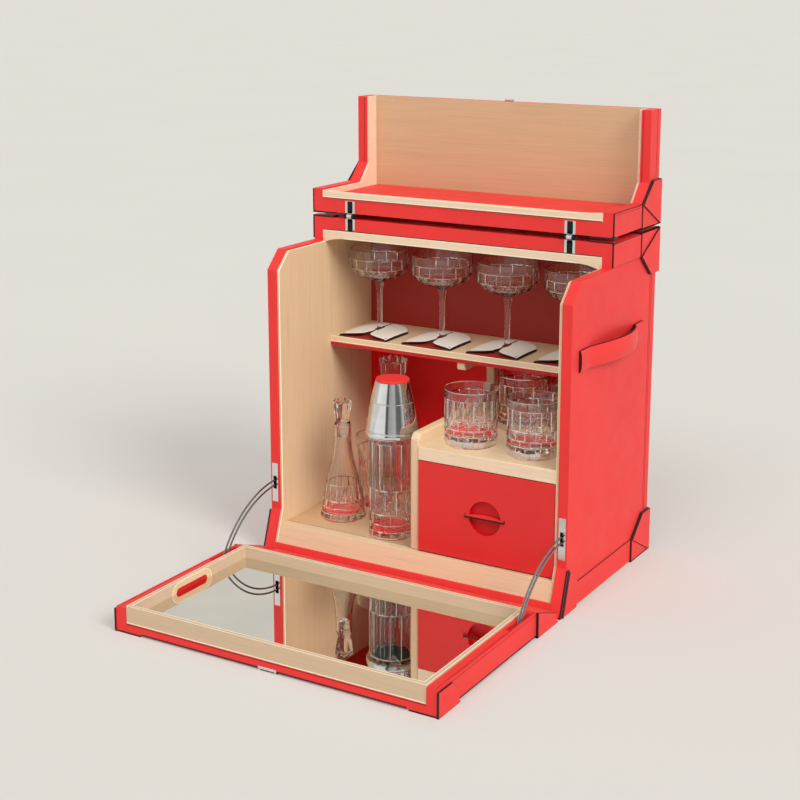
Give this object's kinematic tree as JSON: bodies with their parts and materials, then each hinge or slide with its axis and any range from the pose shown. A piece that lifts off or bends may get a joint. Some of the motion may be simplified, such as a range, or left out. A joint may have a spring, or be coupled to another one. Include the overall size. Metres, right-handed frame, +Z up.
{
  "type": "cocktail trunk",
  "caption": "Leather covered cocktail trunk with a turning lid, a folding front flap with a mirror tray, a shelf of stemmed glasses, bottles and a drawer.",
  "frame": {"origin": "middle of the footprint, on the floor", "axes": "+X to the right across the front, +Y towards the back, +Z up"},
  "size_m": [0.544, 0.6632, 0.6848],
  "materials": {
    "red_leather": "smooth, satin",
    "lining_leather": "smooth, satin",
    "maple": "satin lacquer",
    "petal_leather": "smooth, satin",
    "polished_steel": "polished",
    "tray_mirror": "silvered",
    "clear_glass": "polished, cut"
  },
  "bodies": {
    "case": {"body_shell": "red_leather", "side_lining_left": "maple", "side_lining_right": "maple", "back_panel": "lining_leather", "ceiling": "maple", "floor_board": "maple", "floor_front": "maple", "floor_bearers": "maple", "shelf": "maple", "shelf_leather": "lining_leather", "coupe_pockets": "lining_leather", "pocket_petals": "petal_leather", "divider": "maple", "cabinet_top": "maple", "body_guards": "red_leather", "body_bands": "red_leather", "carry_handles": "red_leather", "stay_plates": "polished_steel", "lid_hinge_lower": "polished_steel", "lid_hinge_pins": "polished_steel", "flap_hinge_fixed": "polished_steel", "flap_hinge_pins": "polished_steel"},
    "lid": {"lid_shell": "red_leather", "lid_rim": "maple", "lid_back_panel": "maple", "lid_pad": "red_leather", "lid_guards": "red_leather", "lid_hinge_upper": "polished_steel", "keeper_patch": "red_leather", "lid_keeper": "polished_steel"},
    "flap": {"flap_shell": "red_leather", "flap_guards": "red_leather", "flap_hinge_moving": "polished_steel", "stay_pins": "polished_steel"},
    "latch": {"turn_latch": "polished_steel"},
    "tray": {"tray_frame": "maple", "tray_mirror": "tray_mirror"},
    "stay_l": {"stay_left": "polished_steel"},
    "stay_r": {"stay_right": "polished_steel"},
    "drawer": {"drawer_box": "maple", "drawer_front": "red_leather", "drawer_pull": "red_leather"},
    "coupe_1": {"coupe_1": "clear_glass"},
    "tumbler_1": {"tumbler_1": "clear_glass"},
    "coupe_2": {"coupe_2": "clear_glass"},
    "tumbler_2": {"tumbler_2": "clear_glass"},
    "coupe_3": {"coupe_3": "clear_glass"},
    "tumbler_3": {"tumbler_3": "clear_glass"},
    "coupe_4": {"coupe_4": "clear_glass"},
    "tumbler_4": {"tumbler_4": "clear_glass"},
    "highball": {"highball": "clear_glass"},
    "small_decanter": {"small_decanter": "clear_glass"},
    "small_stopper": {"small_stopper": "clear_glass"},
    "large_decanter": {"large_decanter": "clear_glass"},
    "large_stopper": {"large_stopper": "clear_glass"},
    "shaker": {"shaker_glass": "clear_glass"},
    "shaker_top": {"shaker_top": "polished_steel", "shaker_disc": "red_leather"}
  },
  "joints": [
    {"name": "lid_turn", "type": "hinge", "parent": "case", "child": "lid", "pos_m": [0, 0.16145, 0.5094], "axis": [-1, 0, 0], "range_deg": [-180, 0]},
    {"name": "flap_fold", "type": "hinge", "parent": "case", "child": "flap", "pos_m": [0, -0.0008, 0.0064], "axis": [1, 0, 0], "range_deg": [-90, 0]},
    {"name": "stay_left_swing", "type": "hinge", "parent": "flap", "child": "stay_l", "pos_m": [0, -0.1034, 0.02], "axis": [1, 0, 0], "range_deg": [0, 25.2]},
    {"name": "stay_right_swing", "type": "hinge", "parent": "flap", "child": "stay_r", "pos_m": [0, -0.1034, 0.02], "axis": [1, 0, 0], "range_deg": [0, 25.2]},
    {"name": "latch_turn", "type": "hinge", "parent": "flap", "child": "latch", "pos_m": [0, -0.3254, 0], "axis": [0, 0, 1], "range_deg": [-90, 0]},
    {"name": "tray_out", "type": "slide", "parent": "flap", "child": "tray", "axis": [0, -1, 0], "range_m": [0, 0.12]},
    {"name": "drawer_pull_out", "type": "slide", "parent": "case", "child": "drawer", "axis": [0, -1, 0], "range_m": [0, 0.15]},
    {"name": "coupe_1_out", "type": "slide", "parent": "case", "child": "coupe_1", "axis": [0, -1, 0], "range_m": [0, 0.065]},
    {"name": "coupe_2_out", "type": "slide", "parent": "case", "child": "coupe_2", "axis": [0, -1, 0], "range_m": [0, 0.065]},
    {"name": "coupe_3_out", "type": "slide", "parent": "case", "child": "coupe_3", "axis": [0, -1, 0], "range_m": [0, 0.065]},
    {"name": "coupe_4_out", "type": "slide", "parent": "case", "child": "coupe_4", "axis": [0, -1, 0], "range_m": [0, 0.065]},
    {"name": "tumbler_1_lift", "type": "slide", "parent": "case", "child": "tumbler_1", "axis": [0, 0, 1], "range_m": [0, 0.02]},
    {"name": "tumbler_2_lift", "type": "slide", "parent": "case", "child": "tumbler_2", "axis": [0, 0, 1], "range_m": [0, 0.02]},
    {"name": "tumbler_3_out", "type": "slide", "parent": "case", "child": "tumbler_3", "axis": [0, -1, 0], "range_m": [0, 0.025]},
    {"name": "tumbler_4_out", "type": "slide", "parent": "case", "child": "tumbler_4", "axis": [0, -1, 0], "range_m": [0, 0.025]},
    {"name": "highball_lift", "type": "slide", "parent": "case", "child": "highball", "axis": [0, 0, 1], "range_m": [0, 0.06]},
    {"name": "small_decanter_lift", "type": "slide", "parent": "case", "child": "small_decanter", "axis": [0, 0, 1], "range_m": [0, 0.04]},
    {"name": "small_stopper_lift", "type": "slide", "parent": "small_decanter", "child": "small_stopper", "axis": [0, 0, 1], "range_m": [0, 0.04]},
    {"name": "large_decanter_lift", "type": "slide", "parent": "case", "child": "large_decanter", "axis": [0, 0, 1], "range_m": [0, 0.008]},
    {"name": "large_stopper_lift", "type": "slide", "parent": "large_decanter", "child": "large_stopper", "axis": [0, 0, 1], "range_m": [0, 0.012]},
    {"name": "shaker_lift", "type": "slide", "parent": "case", "child": "shaker", "axis": [0, 0, 1], "range_m": [0, 0.04]},
    {"name": "shaker_top_lift", "type": "slide", "parent": "shaker", "child": "shaker_top", "axis": [0, 0, 1], "range_m": [0, 0.03]}
  ],
  "couplings": [
    {"joint": "stay_left_swing", "follows": "flap_fold", "ratio": -0.28},
    {"joint": "stay_right_swing", "follows": "flap_fold", "ratio": -0.28}
  ]
}
